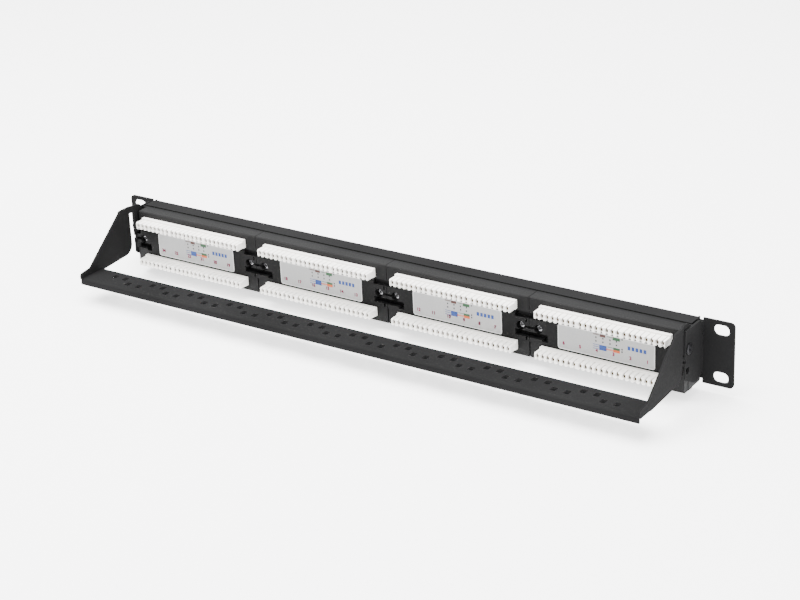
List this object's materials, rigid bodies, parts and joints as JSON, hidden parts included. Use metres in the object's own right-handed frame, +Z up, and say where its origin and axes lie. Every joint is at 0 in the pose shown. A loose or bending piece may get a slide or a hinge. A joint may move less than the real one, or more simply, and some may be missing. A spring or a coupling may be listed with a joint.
{
  "type": "patch panel",
  "caption": "One-unit rack patch panel: folded steel front, modular jacks in front, punch-down blocks behind, and a slotted cable bar hung on two side screws.",
  "frame": {"origin": "centre of the rack mounting plane, which is the rear face of the ears", "axes": "+X left as seen from behind, along the rack's width; +Y out of the back, towards the cable bar; +Z up"},
  "size_m": [0.4826, 0.0844, 0.0474],
  "materials": {
    "panel_steel": "fine black powder coat",
    "bar_steel": "fine black powder coat",
    "module_plastic": "moulded black plastic",
    "insert_plastic": "moulded dark grey plastic",
    "circuit_board": "green glass-fibre board",
    "idc_plastic": "warm white moulded plastic",
    "wiring_label": "grey printed film",
    "port_label": "white writing film",
    "zinc_screw": "bright zinc plate",
    "black_screw": "black zinc plate",
    "zinc_nut": "zinc plate"
  },
  "bodies": {
    "panel": {"front_panel": "panel_steel", "jack_housing_1": "module_plastic", "contact_insert_1": "insert_plastic", "circuit_board_1": "circuit_board", "rear_housing_1": "module_plastic", "upper_idc_block_1": "idc_plastic", "lower_idc_block_1": "idc_plastic", "wiring_label_1": "wiring_label", "port_label_1": "port_label", "module_screw_left_1": "zinc_screw", "module_screw_right_1": "zinc_screw", "jack_housing_2": "module_plastic", "contact_insert_2": "insert_plastic", "circuit_board_2": "circuit_board", "rear_housing_2": "module_plastic", "upper_idc_block_2": "idc_plastic", "lower_idc_block_2": "idc_plastic", "wiring_label_2": "wiring_label", "port_label_2": "port_label", "module_screw_left_2": "zinc_screw", "module_screw_right_2": "zinc_screw", "jack_housing_3": "module_plastic", "contact_insert_3": "insert_plastic", "circuit_board_3": "circuit_board", "rear_housing_3": "module_plastic", "upper_idc_block_3": "idc_plastic", "lower_idc_block_3": "idc_plastic", "wiring_label_3": "wiring_label", "port_label_3": "port_label", "module_screw_left_3": "zinc_screw", "module_screw_right_3": "zinc_screw", "jack_housing_4": "module_plastic", "contact_insert_4": "insert_plastic", "circuit_board_4": "circuit_board", "rear_housing_4": "module_plastic", "upper_idc_block_4": "idc_plastic", "lower_idc_block_4": "idc_plastic", "wiring_label_4": "wiring_label", "port_label_4": "port_label", "module_screw_left_4": "zinc_screw", "module_screw_right_4": "zinc_screw", "bar_screw_left": "black_screw", "bar_screw_right": "black_screw", "bar_nut_left": "zinc_nut", "bar_nut_right": "zinc_nut"},
    "cable_bar": {"cable_bar": "bar_steel"}
  },
  "joints": [
    {"name": "cable_bar_tilt", "type": "hinge", "parent": "panel", "child": "cable_bar", "pos_m": [0, 0.0196, 0.0089], "axis": [1, 0, 0], "range_deg": [-12, 3]}
  ]
}
